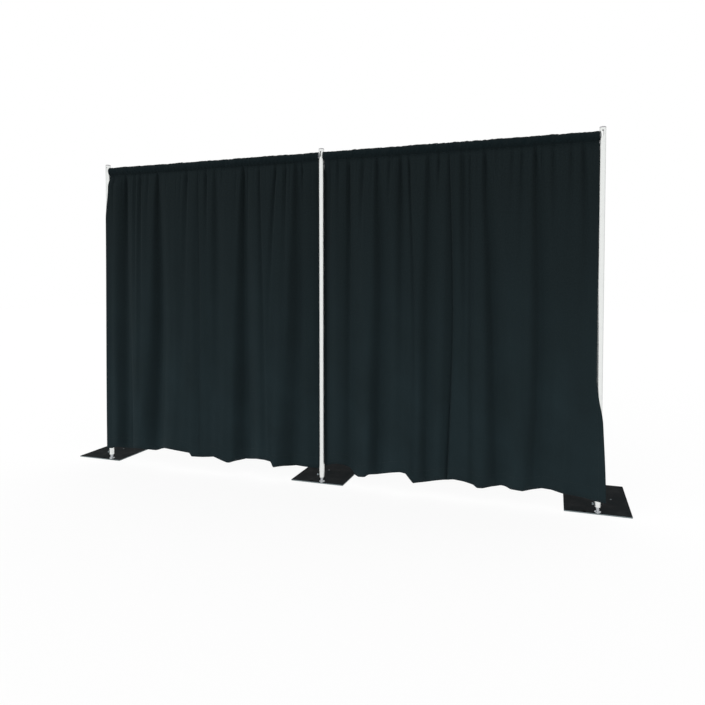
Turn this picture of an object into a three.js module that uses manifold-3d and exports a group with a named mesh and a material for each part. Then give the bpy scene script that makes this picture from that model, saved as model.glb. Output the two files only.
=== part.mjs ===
// A pipe and drape backdrop: three aluminium uprights on steel base plates, two telescopic
// crossbars hooked between their heads, and four black drapes gathered on the bars.
// Millimetres, +Z up. X runs along the screen and -Y is its front. The origin lies on the floor
// under the middle of the centre base plate.
import * as THREE from 'three';
import { mergeVertices } from 'three/addons/utils/BufferGeometryUtils.js';
import Module from 'manifold-3d';

const wasm = await Module();
wasm.setup();

// Screen
const screenHeight = 2438.4;
const spanCentres = 1880;
const barDrop = 52;

// Clearances
const seatGap = 0.3;
const slideGap = 0.3;
const overrun = 2;

// Base plates
const plateWidth = 406.4;
const plateDepth = 609.6;
const plateThickness = 6.35;
const plateCorner = 6;
const pinSetback = 22;
const leftPinOffset = 110;
const centrePinOffset = 35;
const rightPinOffset = 0;

// Base pins and the screws under them
const pinDiameter = 25.4;
const pinHeight = 203;
const pinFlangeDiameter = 40;
const pinFlangeThickness = 6;
const pinFilletHeight = 7;
const pinChamfer = 2.5;
const pinScrewDiameter = 10;
const pinScrewHead = 18;
const pinScrewRecess = 0.5;
const pinScrewReach = 22;
const pinSocketWidth = 6;
const pinSocketDepth = 3;

// Small fittings on the plates
const plugDiameter = 24;
const plugCrown = 2;
const plugShank = 19;
const plugFromPin = 82;
const plateScrewHead = 12;
const plateScrewCrown = 3.5;
const plateScrewDiameter = 6;
const plateScrewBack = 275;
const leftScrewOffset = -110;
const centreScrewOffset = -50;
const rightScrewOffset = 100;

// Uprights
const postDiameter = 38.1;
const postWall = 1.65;
const footGap = 38;
const slotWidth = 8;
const slotHeight = 40;
const capOverhang = 0.5;
const capRim = 4;
const capHeight = 9;
const capPlugDepth = 14;
const bushCrown = 12;
const boreGap = 0.4;

// Foot thumbscrews
const thumbscrewRise = 15;
const thumbscrewDiameter = 6;
const knobDiameter = 17;
const knobLength = 9;
const knobStandoff = 7;
const knobGrooveDepth = 0.7;

// Crossbars
const barDiameter = 38.1;
const barWall = 1.65;
const innerBarDiameter = 31.75;
const innerBarWall = 1.5;
const closedRoom = 270;
const bushLip = 3;
const bushDepth = 30;
const tailLip = 5;
const tailDepth = 20;
const hookGap = 3;
const endFlange = 4;
const endPlugDepth = 36;
const bladeThickness = 5;
const bladeNeck = 22;
const bladeLip = 13;
const bladeLipThickness = 5;
const bladeWallGap = 0.6;
const bladeRoot = 30;
const crossPinDiameter = 5;
const crossPinInset = 18;

// Drapes
const clothThickness = 3;
const pocketDepth = 60;
const pocketEase = 2.5;
const pocketSide = 30;
const hemClearance = 118;
const hemSwingShare = 0.2;
const drapeGap = 3;
const foldFront = 72;
const foldBack = 30;
const foldPitch = 170;
const foldFlank = 75;
const foldFlankShare = 0.38;
const edgeFlankShare = 0.6;
const edgeReachShare = 0;
const tuckClearance = 5;
const edgeStandoff = 1.5;
const leftOverhang = 28;
const rightOverhang = 46;

// Fold valleys as shares of the span, counted out from the centre upright: at the pocket, half
// way down and at the hem. Then how deep the valley is at the pocket and at the hem, where a
// share below zero brings it out towards the crests.
const leftNearShares = [
  [0.104, 0.114, 0.146, 1, 1], [0.334, 0.35, 0.357, 1, 1], [0.468, 0.467, 0.49, 0.8, -1.4],
];
const leftEdgeShares = [0.545, 0.532, 0.538, -1, -1.5];
const leftFarShares = [[0.742, 0.752, 0.79, 1, 1], [0.906, 0.929, 0.947, 0.9, 0.9]];
const rightNearShares = [
  [0.113, 0.112, 0.108, 0.9, 0.8], [0.224, 0.231, 0.203, 1, 1], [0.312, 0.322, 0.33, 0.5, -1.4],
  [0.417, 0.408, 0.403, 0.8, 0.6],
];
const rightEdgeShares = [0.491, 0.512, 0.488, 0.3, 0.1];
const rightFarShares = [
  [0.542, 0.555, 0.556, 0.6, -0.7], [0.615, 0.642, 0.64, 1, 1], [0.785, 0.8, 0.778, 0.8, 0.7],
];

// Levels of the drape from its pocket seam, 0, to its hem, 1. A drape's upright edge first moves
// off the line of the posts and then passes the post.
const levelShares = [0, 0.02, 0.07, 0.3, 0.5, 0.7, 0.82, 1];
const tuckShares = { aside: [0, 0.02], past: [0.02, 0.07] };
const lateTuckShares = { aside: [0.5, 0.7], past: [0.7, 0.82] };
const foldGrowth = 0.4;

// Worked out from the sizes above
const postRadius = postDiameter / 2;
const postBore = postRadius - postWall;
const barRadius = barDiameter / 2;
const barBore = barRadius - barWall;
const innerBarRadius = innerBarDiameter / 2;
const innerBarBore = innerBarRadius - innerBarWall;
const postLineY = pinSetback - plateDepth / 2;
const postFoot = plateThickness + footGap;
const postTop = screenHeight - capHeight;
const barHeight = screenHeight - barDrop;
const slotFloor = -bladeNeck / 2 - seatGap;
const pinTop = plateThickness + seatGap + pinHeight;
const pinGrip = pinTop + seatGap - postFoot;
const barStart = postRadius + hookGap + endFlange;
const barEnd = spanCentres - barStart;
const barMouth = barEnd - seatGap - bushLip;
const innerBarStart = barStart + endPlugDepth + closedRoom + tailLip;

const aluminium = new THREE.MeshStandardMaterial({ color: '#e7e9e6', roughness: 0.32, metalness: 0.85 });
const zincSteel = new THREE.MeshStandardMaterial({ color: '#b9bcbe', roughness: 0.35, metalness: 1 });
const blackSteel = new THREE.MeshStandardMaterial({ color: '#26282a', roughness: 0.6, metalness: 0.3 });
const greyPlastic = new THREE.MeshStandardMaterial({ color: '#b4b1b6', roughness: 0.5, metalness: 0 });
const blackPlastic = new THREE.MeshStandardMaterial({ color: '#141516', roughness: 0.45, metalness: 0 });
const blackCloth = new THREE.MeshStandardMaterial({ color: '#1c2527', roughness: 0.95, metalness: 0 });

function solidOf(geometry) {
  const bare = geometry.clone();
  bare.deleteAttribute('normal');
  bare.deleteAttribute('uv');
  const merged = mergeVertices(bare);
  return new wasm.Manifold(new wasm.Mesh({
    numProp: 3,
    vertProperties: merged.attributes.position.array,
    triVerts: new Uint32Array(merged.index.array),
  }));
}

function geometryOf(solid) {
  const mesh = solid.getMesh();
  const geometry = new THREE.BufferGeometry();
  geometry.setAttribute('position', new THREE.BufferAttribute(mesh.vertProperties, 3));
  geometry.setIndex(new THREE.BufferAttribute(mesh.triVerts, 1));
  geometry.computeVertexNormals();
  return geometry;
}

const cut = (geometry, ...tools) => geometryOf(
  tools.reduce((solid, tool) => solid.subtract(solidOf(tool)), solidOf(geometry)));

const join = (geometry, ...others) => geometryOf(
  others.reduce((solid, other) => solid.add(solidOf(other)), solidOf(geometry)));

// A solid of revolution about +Z from [radius, height] points.
function turned(points, sides = 24) {
  const outline = points.map(([radius, height]) => new THREE.Vector2(radius, height));
  return new THREE.LatheGeometry(outline, sides).rotateX(Math.PI / 2);
}

const rod = (radius, low, high, sides) => turned([[0, low], [radius, low], [radius, high], [0, high]], sides);

const pipe = (outer, bore, low, high) => turned([[outer, low], [outer, high], [bore, high], [bore, low], [outer, low]]);

const alongX = (geometry) => geometry.rotateY(Math.PI / 2);
const alongY = (geometry) => geometry.rotateX(Math.PI / 2);

function block([x0, x1], [y0, y1], [z0, z1]) {
  const box = new THREE.BoxGeometry(x1 - x0, y1 - y0, z1 - z0);
  return box.translate((x0 + x1) / 2, (y0 + y1) / 2, (z0 + z1) / 2);
}

function piece(name, geometry, material) {
  const mesh = new THREE.Mesh(geometry, material);
  mesh.name = name;
  return mesh;
}

function groupAt(x, y, z, ...children) {
  const group = new THREE.Group();
  group.position.set(x, y, z);
  group.add(...children);
  return group;
}

// Countersunk screw that enters the plate from below; grow widens it into its own hole.
function pinScrewBody(grow) {
  const shank = pinScrewDiameter / 2 + grow;
  const head = pinScrewHead / 2 + grow;
  const face = grow ? -overrun : pinScrewRecess;
  const headTop = pinScrewRecess + head - shank;
  return turned([[0, face], [head, face], [head, pinScrewRecess], [shank, headTop],
    [shank, plateThickness + pinScrewReach + grow], [0, plateThickness + pinScrewReach + grow]], 16);
}

function pinScrew() {
  const socket = new THREE.CylinderGeometry(
    pinSocketWidth / Math.sqrt(3), pinSocketWidth / Math.sqrt(3), pinSocketDepth * 2, 6);
  return cut(pinScrewBody(0), socket.rotateX(Math.PI / 2).translate(0, 0, pinScrewRecess));
}

function basePlate(pinOffset, screwOffset) {
  const half = plateWidth / 2;
  const deep = plateDepth / 2;
  const corner = plateCorner;
  const outline = new THREE.Shape();
  outline.moveTo(-half + corner, -deep);
  outline.absarc(half - corner, -deep + corner, corner, -Math.PI / 2, 0);
  outline.absarc(half - corner, deep - corner, corner, 0, Math.PI / 2);
  outline.absarc(-half + corner, deep - corner, corner, Math.PI / 2, Math.PI);
  outline.absarc(-half + corner, -deep + corner, corner, Math.PI, Math.PI * 1.5);
  const sheet = new THREE.ExtrudeGeometry(outline, {
    depth: plateThickness, bevelEnabled: false, curveSegments: 3,
  });
  const holeEnds = [-overrun, plateThickness + overrun];
  return cut(
    sheet.translate(-pinOffset, deep - pinSetback, 0),
    pinScrewBody(seatGap),
    rod(plugShank / 2 + seatGap, ...holeEnds, 16).translate(-plugFromPin, 0, 0),
    rod(plateScrewDiameter / 2 + seatGap, ...holeEnds, 12).translate(screwOffset, plateScrewBack, 0),
  );
}

function basePin() {
  const foot = plateThickness + seatGap;
  const radius = pinDiameter / 2;
  const hole = pinScrewDiameter / 2 + seatGap;
  const holeTop = plateThickness + pinScrewReach + seatGap;
  const flange = pinFlangeDiameter / 2;
  const flangeTop = foot + pinFlangeThickness;
  return turned([[0, holeTop], [hole, holeTop], [hole, foot], [flange, foot], [flange, flangeTop],
    [radius, flangeTop + pinFilletHeight], [radius, pinTop - pinChamfer],
    [radius - pinChamfer, pinTop], [0, pinTop]]);
}

// A low domed head over a straight shank that stops short of the plate's underside.
function headedInsert(headDiameter, crown, shankDiameter) {
  const head = headDiameter / 2;
  const shank = shankDiameter / 2;
  const seat = plateThickness + seatGap;
  return turned([[0, seatGap], [shank, seatGap], [shank, seat], [head, seat], [head, seat + crown / 3],
    [head * 0.75, seat + crown * 0.85], [0, seat + crown]], 16);
}

function uprightTube() {
  const slotLow = barHeight + slotFloor;
  const slotLevel = [slotLow, slotLow + slotHeight];
  const across = [-postRadius - overrun, postRadius + overrun];
  const wide = [-slotWidth / 2, slotWidth / 2];
  return cut(
    pipe(postRadius, postBore, postFoot, postTop),
    block(across, wide, slotLevel),
    block(wide, across, slotLevel),
    thumbscrewHole(),
  );
}

function topCap() {
  const plug = postBore - seatGap;
  const rim = postRadius + capOverhang;
  const foot = postTop + seatGap;
  const rimTop = foot + capRim;
  const top = screenHeight;
  const dome = [15, 35, 60].map((degrees) => {
    const angle = THREE.MathUtils.degToRad(degrees);
    return [rim * Math.cos(angle), rimTop + (top - rimTop) * Math.sin(angle)];
  });
  return turned([[0, foot - capPlugDepth], [plug, foot - capPlugDepth], [plug, foot], [rim, foot],
    [rim, rimTop], ...dome, [0, top]]);
}

// Reducer in the foot of the tube: the pin fills its bore and its blind end stands on the pin.
function footBush() {
  const outer = postBore - seatGap;
  const bore = pinDiameter / 2 + boreGap;
  const seat = postFoot + pinGrip;
  return cut(turned([[0, seat], [bore, seat], [bore, postFoot], [outer, postFoot],
    [outer, seat + bushCrown], [0, seat + bushCrown]]), thumbscrewHole());
}

const thumbscrewLevel = postFoot + thumbscrewRise;

function thumbscrewHole() {
  const hole = alongX(rod(thumbscrewDiameter / 2 + seatGap, -postRadius - overrun, 0, 12));
  return hole.translate(0, 0, thumbscrewLevel);
}

function thumbscrew() {
  const tip = -pinDiameter / 2 - seatGap;
  const knobFoot = -postRadius - knobStandoff;
  const knobLobes = 10;
  const outline = [];
  for (let i = 0; i < knobLobes * 4; i += 1) {
    const angle = (i * Math.PI * 2) / (knobLobes * 4);
    const radius = knobDiameter / 2 - knobGrooveDepth * (1 - Math.cos(angle * knobLobes)) / 2;
    outline.push(new THREE.Vector2(radius * Math.cos(angle), radius * Math.sin(angle)));
  }
  const knob = new THREE.ExtrudeGeometry(new THREE.Shape(outline), { depth: knobLength, bevelEnabled: false });
  const shank = rod(thumbscrewDiameter / 2, knobFoot - knobLength / 2, tip, 12);
  return join(alongX(knob).translate(knobFoot - knobLength, 0, 0), alongX(shank)).translate(0, 0, thumbscrewLevel);
}

function foot(side, pinOffset, screwOffset) {
  return [
    piece(`${side}_base_plate`, basePlate(pinOffset, screwOffset), blackSteel),
    piece(`${side}_base_pin`, basePin(), zincSteel),
    piece(`${side}_pin_screw`, pinScrew(), zincSteel),
    piece(`${side}_spare_hole_plug`,
      headedInsert(plugDiameter, plugCrown, plugShank).translate(-plugFromPin, 0, 0), blackPlastic),
    piece(`${side}_plate_screw`,
      headedInsert(plateScrewHead, plateScrewCrown, plateScrewDiameter)
        .translate(screwOffset, plateScrewBack, 0), zincSteel),
  ];
}

function upright(side) {
  return [
    piece(`${side}_upright_tube`, uprightTube(), aluminium),
    piece(`${side}_top_cap`, topCap(), greyPlastic),
    piece(`${side}_foot_bush`, footBush(), greyPlastic),
    piece(`${side}_foot_thumbscrew`, thumbscrew(), zincSteel),
  ];
}

const crossPinHole = (x) => alongY(
  rod(crossPinDiameter / 2 + seatGap, -barRadius - overrun, barRadius + overrun, 12)).translate(x, 0, 0);

// The steel hook, drawn at the near end of a bar whose axis is X and whose post stands at zero.
function hookBlade() {
  const half = bladeNeck / 2;
  const lipOut = postBore - bladeWallGap;
  const lipIn = lipOut - bladeLipThickness;
  const root = barStart + bladeRoot;
  const outline = new THREE.Shape([[lipIn, -half - bladeLip], [lipOut, -half - bladeLip], [lipOut, -half],
    [root, -half], [root, half], [lipIn, half]].map(([x, z]) => new THREE.Vector2(x, z)));
  const blade = new THREE.ExtrudeGeometry(outline, { depth: bladeThickness, bevelEnabled: false });
  return cut(alongY(blade).translate(0, bladeThickness / 2, 0), crossPinHole(barStart + crossPinInset));
}

// Turned plug that closes a bar's end and holds the blade in its slot.
function endPlug(bore) {
  const radius = bore - seatGap;
  const plug = alongX(turned([[0, barStart - endFlange], [barRadius, barStart - endFlange],
    [barRadius, barStart - seatGap], [radius, barStart - seatGap],
    [radius, barStart + endPlugDepth], [0, barStart + endPlugDepth]]));
  const wide = bladeThickness / 2 + seatGap;
  const tall = bladeNeck / 2 + seatGap;
  return cut(
    plug,
    block([barStart - endFlange - overrun, barStart + bladeRoot + seatGap], [-wide, wide], [-tall, tall]),
    crossPinHole(barStart + crossPinInset),
  );
}

function crossPin(radius) {
  return alongY(rod(crossPinDiameter / 2, -radius, radius, 12)).translate(barStart + crossPinInset, 0, 0);
}

const fromFarEnd = (geometry) => geometry.rotateZ(Math.PI).translate(spanCentres, 0, 0);

// Two tubes, one sliding in the other. X runs out from the centre upright's axis.
function crossbar(side) {
  const outerTube = cut(alongX(pipe(barRadius, barBore, barStart, barMouth)),
    crossPinHole(barStart + crossPinInset));
  const innerTube = cut(alongX(pipe(innerBarRadius, innerBarBore, innerBarStart, barEnd)),
    fromFarEnd(crossPinHole(barStart + crossPinInset)));
  const sleeve = innerBarRadius + slideGap;
  const mouthBush = alongX(turned([[sleeve, barMouth - bushDepth], [barBore - seatGap, barMouth - bushDepth],
    [barBore - seatGap, barMouth + seatGap], [barRadius, barMouth + seatGap],
    [barRadius, barMouth + bushLip], [sleeve, barMouth + bushLip], [sleeve, barMouth - bushDepth]]));
  const tail = innerBarBore - seatGap;
  const tailBush = alongX(turned([[0, innerBarStart - tailLip], [barBore - slideGap, innerBarStart - tailLip],
    [barBore - slideGap, innerBarStart - seatGap], [tail, innerBarStart - seatGap],
    [tail, innerBarStart + tailDepth], [0, innerBarStart + tailDepth]]));
  return [
    piece(`${side}_bar_outer_tube`, outerTube, aluminium),
    piece(`${side}_bar_inner_tube`, innerTube, aluminium),
    piece(`${side}_bar_mouth_bush`, mouthBush, blackPlastic),
    piece(`${side}_bar_tail_bush`, tailBush, blackPlastic),
    piece(`${side}_near_end_plug`, endPlug(barBore), zincSteel),
    piece(`${side}_near_hook_blade`, hookBlade(), zincSteel),
    piece(`${side}_near_cross_pin`, crossPin(barRadius), zincSteel),
    piece(`${side}_far_end_plug`, fromFarEnd(endPlug(innerBarBore)), zincSteel),
    piece(`${side}_far_hook_blade`, fromFarEnd(hookBlade()), zincSteel),
    piece(`${side}_far_cross_pin`, fromFarEnd(crossPin(innerBarRadius)), zincSteel),
  ];
}

const between = (a, b, share) => a + (b - a) * share;
const eased = (level, [start, end]) => THREE.MathUtils.smoothstep(level, start, end);
const growth = (level) => level ** foldGrowth;

// A place on the drape that its folds hang between: x along the span and y behind the bar, by level.
function valley(shares, outward, shift = 0) {
  const [topShare, middleShare, hemShare, topDepthShare, hemDepthShare] = shares;
  const share = (level) => (level < 0.5
    ? between(topShare, middleShare, level * 2)
    : between(middleShare, hemShare, level * 2 - 1));
  return {
    x: (level) => outward * (share(level) * spanCentres + shift),
    y: (level) => foldBack * between(topDepthShare, hemDepthShare, level) * growth(level),
  };
}

// The near edge of a drape tucks in behind the centre upright, with a short flat stretch beside it.
function tuckedEdge(outward) {
  const beside = postRadius + edgeStandoff;
  const behind = postRadius + tuckClearance + clothThickness / 2;
  const y = (level) => behind * eased(level, tuckShares.aside);
  return [
    { x: (level) => outward * between(beside, edgeStandoff, eased(level, tuckShares.past)), y, flat: true },
    { x: () => outward * (beside + tuckClearance), y, beside: true },
  ];
}

// The far edge passes in front of the end upright and hangs out beyond it.
function lappedEdge(outward, overhang, shares) {
  const beside = spanCentres - postRadius - edgeStandoff;
  const before = -postRadius - tuckClearance - clothThickness / 2;
  const y = (level) => before * eased(level, shares.aside);
  return [
    { x: () => outward * (beside - tuckClearance), y, beside: true },
    {
      x: (level) => outward * between(beside, spanCentres + overhang, eased(level, shares.past)),
      y,
      flat: true,
    },
  ];
}

// The drape's middle line at one level, from left to right: each fold comes forward from a sharp
// valley over a rounded crest and runs back down a shorter flank.
function foldLine(knots, level) {
  const places = knots.map((knot) => ({
    x: knot.x(level),
    y: knot.y(level),
    flat: knot.flat,
    beside: knot.beside,
    front: knot.beside ? Math.min(knot.y(level), 0) : 0,
  }));
  const line = [new THREE.Vector2(places[0].x, places[0].y)];
  for (let i = 1; i < places.length; i += 1) {
    const [a, b] = [places[i - 1], places[i]];
    const onEdge = i === 1 ? a.flat : i === places.length - 1 && b.flat;
    if (!onEdge) {
      const atEdge = a.beside || b.beside;
      const run = b.x - a.x;
      const flank = atEdge ? run * edgeFlankShare : Math.min(foldFlank, run * foldFlankShare);
      const crestX = b.x - flank;
      const full = foldFront * (1 - Math.exp(-run / foldPitch)) * growth(level);
      const crestY = Math.min(a.front, b.front) - full * (atEdge ? edgeReachShare : 1);
      [1 / 3, 2 / 3, 1].forEach((share) => line.push(new THREE.Vector2(
        between(a.x, crestX, share), between(a.y, crestY, Math.sin(share * Math.PI / 2)))));
      line.push(new THREE.Vector2(
        between(crestX, b.x, 0.5), between(b.y, crestY, Math.sin(Math.PI / 4))));
    }
    line.push(new THREE.Vector2(b.x, b.y));
  }
  return line;
}

// Outline of the rod pocket in [y, z] about the bar's axis: from the front over the top to the
// back, its flats lying outside the radius.
function pocketArc(radius, centre) {
  const flats = 6;
  const start = THREE.MathUtils.degToRad(180 + pocketSide);
  const step = (start * 2 - Math.PI) / flats;
  const reach = radius / Math.cos(step / 2);
  return Array.from({ length: flats + 1 }, (_, i) => {
    const angle = start - step * i;
    return [reach * Math.cos(angle), centre + reach * Math.sin(angle)];
  });
}

// A drape as one closed cloth body: columns from left to right, each the outline of the leaf from
// its hem up the front, round the bar and down the back, with the pocket's own outline inside.
// The back of the leaf is split along the same diagonals as its front, so that its walls can't cross.
function drape(knots) {
  const ordered = knots[0].x(1) < knots[knots.length - 1].x(1) ? knots : [...knots].reverse();
  const lines = levelShares.map((level) => foldLine(ordered, level));
  const half = clothThickness / 2;
  const hollow = barRadius + pocketEase;
  const centre = seatGap - pocketEase;
  const outerArc = pocketArc(hollow + clothThickness, centre);
  const innerArc = pocketArc(hollow, centre);
  const seam = hollow + clothThickness + centre - pocketDepth;
  const hem = hemClearance - barHeight;
  const levels = levelShares.length;
  const columns = lines[0].map((place, i) => {
    const leaf = lines.map((line, k) => {
      const run = line[Math.min(i + 1, line.length - 1)].clone().sub(line[Math.max(i - 1, 0)]).normalize();
      const drop = (hem - seam) + hemSwingShare * line[i].y;
      const z = seam + drop * levelShares[k];
      const offset = new THREE.Vector2(run.y, -run.x).multiplyScalar(half);
      return [
        new THREE.Vector3(line[i].x + offset.x, line[i].y + offset.y, z),
        new THREE.Vector3(line[i].x - offset.x, line[i].y - offset.y, z),
      ];
    });
    const onArc = ([y, z]) => new THREE.Vector3(place.x, y, z);
    return [
      ...leaf.map(([front]) => front).reverse(), ...outerArc.map(onArc), ...leaf.map(([, back]) => back),
      onArc([0, seam + clothThickness * 2]), ...innerArc.map(onArc),
    ];
  });
  const arc = outerArc.length;
  const outer = levels * 2 + arc;
  const size = outer + 1 + arc;
  const faces = [];
  const quad = (a, b, c, d) => faces.push(a, b, c, a, c, d);
  for (let c = 0; c < columns.length - 1; c += 1) {
    const [here, next] = [c * size, (c + 1) * size];
    for (let k = 0; k < outer; k += 1) {
      const on = (k + 1) % outer;
      if (k < levels + arc) {
        quad(here + k, next + k, next + on, here + on);
      } else {
        quad(next + k, next + on, here + on, here + k);
      }
    }
    for (let k = 0; k <= arc; k += 1) {
      const [a, b] = [outer + k, outer + ((k + 1) % (arc + 1))];
      quad(here + a, here + b, next + b, next + a);
    }
  }
  const apex = outer;
  const cells = [[levels - 1, apex, levels + arc, levels + arc]];
  for (let k = 0; k < levels - 1; k += 1) {
    cells.push([k, k + 1, outer - k - 2, outer - k - 1]);
  }
  cells.push([levels - 1, levels, apex + 1, apex], [levels + arc - 1, levels + arc, apex, apex + arc]);
  for (let k = 0; k < arc - 1; k += 1) {
    cells.push([levels + k, levels + k + 1, apex + k + 2, apex + k + 1]);
  }
  const last = (columns.length - 1) * size;
  cells.forEach(([a, b, c, d]) => {
    quad(a, b, c, d);
    quad(last + d, last + c, last + b, last + a);
  });
  const geometry = new THREE.BufferGeometry().setFromPoints(columns.flat());
  geometry.setIndex(faces);
  return geometry;
}

function drapes() {
  const pair = (side, outward, near, edge, far, lapped) => [
    piece(`${side}_near_drape`, drape([
      ...tuckedEdge(outward), ...near.map((shares) => valley(shares, outward)),
      valley(edge, outward, -drapeGap / 2),
    ]), blackCloth),
    piece(`${side}_far_drape`, drape([
      valley(edge, outward, drapeGap / 2), ...far.map((shares) => valley(shares, outward)),
      ...lapped,
    ]), blackCloth),
  ];
  return [
    ...pair('left', -1, leftNearShares, leftEdgeShares, leftFarShares,
      lappedEdge(-1, leftOverhang, tuckShares)),
    ...pair('right', 1, rightNearShares, rightEdgeShares, rightFarShares,
      lappedEdge(1, rightOverhang, lateTuckShares)),
  ];
}

// The whole screen stands on the line of its posts.
const leftBar = groupAt(0, 0, barHeight, ...crossbar('left'));
leftBar.rotation.z = Math.PI;
const backdrop = groupAt(centrePinOffset, postLineY, 0,
  groupAt(-spanCentres, 0, 0, ...foot('left', leftPinOffset, leftScrewOffset), ...upright('left')),
  groupAt(0, 0, 0, ...foot('centre', centrePinOffset, centreScrewOffset), ...upright('centre')),
  groupAt(spanCentres, 0, 0, ...foot('right', rightPinOffset, rightScrewOffset), ...upright('right')),
  leftBar,
  groupAt(0, 0, barHeight, ...crossbar('right')),
  groupAt(0, 0, barHeight, ...drapes()));

export default backdrop;
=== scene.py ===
"""Dresses the pipe and drape backdrop: gathered cloth panels in place of the plain ones, finishes
for tube, plate and fittings, and a pale studio with the camera where the photograph was taken.

Everything is in metres in the frame of the model. X runs along the screen, -Y is its front.
"""

import logging
import math
from dataclasses import dataclass, field
from enum import Enum

import bpy
import numpy as np
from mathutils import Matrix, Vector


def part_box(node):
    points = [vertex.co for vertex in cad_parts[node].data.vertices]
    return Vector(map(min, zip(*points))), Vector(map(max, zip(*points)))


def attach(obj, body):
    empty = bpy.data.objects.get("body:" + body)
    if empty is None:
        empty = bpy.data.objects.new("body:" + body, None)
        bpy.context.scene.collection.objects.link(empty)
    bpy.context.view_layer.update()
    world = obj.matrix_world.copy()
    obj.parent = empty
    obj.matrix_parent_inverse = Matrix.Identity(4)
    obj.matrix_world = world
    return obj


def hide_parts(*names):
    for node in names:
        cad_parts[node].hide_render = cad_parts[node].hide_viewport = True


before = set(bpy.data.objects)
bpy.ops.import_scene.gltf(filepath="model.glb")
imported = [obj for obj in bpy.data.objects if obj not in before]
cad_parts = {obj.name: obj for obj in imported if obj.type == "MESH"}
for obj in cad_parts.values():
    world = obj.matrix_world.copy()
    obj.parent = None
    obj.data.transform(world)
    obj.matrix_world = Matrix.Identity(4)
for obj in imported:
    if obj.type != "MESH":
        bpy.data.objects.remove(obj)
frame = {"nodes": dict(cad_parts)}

log = logging.getLogger("backdrop")
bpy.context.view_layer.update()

# Nearly all values of a noise texture lie between these two.
NOISE_LOW, NOISE_HIGH = 0.3, 0.7
# A drawn grain is this many times finer across its lines than along them.
GRAIN_STRETCH = 60.0
# A wave texture of scale one repeats after this many metres.
WAVE_REPEAT = 2 * math.pi / 20
# The share of the drop over which a fold that changes its lean bends half way down.
FOLD_BEND = 0.11
# The drapes' edges at the meeting line stand this far to either side of it.
MEETING_GAP = 0.0005

# The height of the hem above the floor at places across the screen, from the centre post.
LEFT_HEM = (
    (-1.95, 0.090), (-1.86, 0.093), (-1.80, 0.110), (-1.60, 0.114), (-1.46, 0.114),
    (-1.40, 0.132), (-1.34, 0.138), (-1.28, 0.135), (-1.20, 0.128), (-1.087, 0.120),
    (-1.070, 0.093), (-0.98, 0.098), (-0.88, 0.110), (-0.82, 0.091), (-0.76, 0.074),
    (-0.735, 0.077), (-0.69, 0.099), (-0.64, 0.121), (-0.52, 0.127), (-0.44, 0.125),
    (-0.386, 0.117), (-0.368, 0.074), (-0.30, 0.093), (-0.22, 0.110), (-0.14, 0.106),
    (0.0, 0.104),
)
RIGHT_HEM = (
    (0.0, 0.128), (0.08, 0.148), (0.12, 0.153), (0.17, 0.150), (0.21, 0.136), (0.235, 0.108),
    (0.25, 0.084), (0.28, 0.072), (0.34, 0.075), (0.367, 0.096), (0.44, 0.111), (0.52, 0.124),
    (0.60, 0.136), (0.64, 0.130), (0.66, 0.105), (0.69, 0.068), (0.78, 0.090), (0.90, 0.115),
    (0.97, 0.124), (1.04, 0.117), (1.10, 0.102), (1.125, 0.082), (1.165, 0.084), (1.22, 0.103),
    (1.28, 0.118), (1.31, 0.114), (1.345, 0.097), (1.42, 0.092), (1.48, 0.112), (1.54, 0.126),
    (1.60, 0.122), (1.66, 0.106), (1.75, 0.098), (1.82, 0.089), (1.879, 0.074), (1.95, 0.070),
)

# Creases below the pocket: three shares of the span, then the depth, the life and, where they
# aren't the usual ones, the half width and whether the crease grows towards the hem.
LEFT_CREASES = (
    (0.965, 0.965, 0.965, 0.015, 0.12), (0.852, 0.852, 0.852, 0.017, 0.5),
    (0.828, 0.822, 0.838, 0.023, 0.45, 0.011), (0.880, 0.880, 0.885, 0.028, 1.0, 0.008, True),
    (0.790, 0.790, 0.790, 0.011, 0.12), (0.597, 0.606, 0.612, 0.023, 0.42, 0.013),
    (0.507, 0.500, 0.500, 0.025, 0.20), (0.430, 0.430, 0.430, 0.011, 0.10),
    (0.315, 0.312, 0.310, 0.017, 0.14, 0.007), (0.263, 0.241, 0.228, 0.019, 1.4, 0.008),
    (0.190, 0.219, 0.218, 0.028, 0.42), (0.148, 0.148, 0.147, 0.027, 0.26),
    (0.080, 0.080, 0.080, 0.017, 0.12, 0.007), (0.907, 0.912, 0.915, 0.020, 0.22, 0.008),
    (0.744, 0.750, 0.755, 0.020, 0.20, 0.008), (0.336, 0.344, 0.350, 0.020, 0.20, 0.008),
    (0.106, 0.110, 0.114, 0.018, 0.18, 0.008),
)
RIGHT_CREASES = (
    (0.036, 0.028, 0.028, 0.019, 0.25), (0.070, 0.070, 0.070, 0.017, 0.13),
    (0.112, 0.110, 0.108, 0.025, 0.8), (0.171, 0.150, 0.150, 0.023, 0.30, 0.011),
    (0.273, 0.262, 0.260, 0.019, 0.22), (0.312, 0.318, 0.320, 0.025, 0.7, 0.012),
    (0.345, 0.374, 0.370, 0.023, 1.0, 0.007), (0.456, 0.456, 0.456, 0.023, 0.12),
    (0.540, 0.550, 0.548, 0.023, 0.8, 0.012), (0.567, 0.574, 0.584, 0.017, 1.6, 0.007),
    (0.660, 0.660, 0.660, 0.013, 0.10), (0.712, 0.712, 0.712, 0.017, 0.15),
    (0.745, 0.745, 0.745, 0.021, 0.20), (0.812, 0.810, 0.810, 0.013, 0.12),
    (0.847, 0.862, 0.870, 0.023, 0.36, 0.012), (0.905, 0.905, 0.905, 0.019, 0.16),
    (0.942, 0.968, 0.975, 0.027, 0.42, 0.012), (0.222, 0.226, 0.226, 0.016, 0.20, 0.008),
    (0.417, 0.414, 0.414, 0.014, 0.16, 0.008), (0.618, 0.628, 0.630, 0.016, 0.18, 0.008),
    (0.788, 0.795, 0.800, 0.014, 0.16, 0.008),
)


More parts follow.
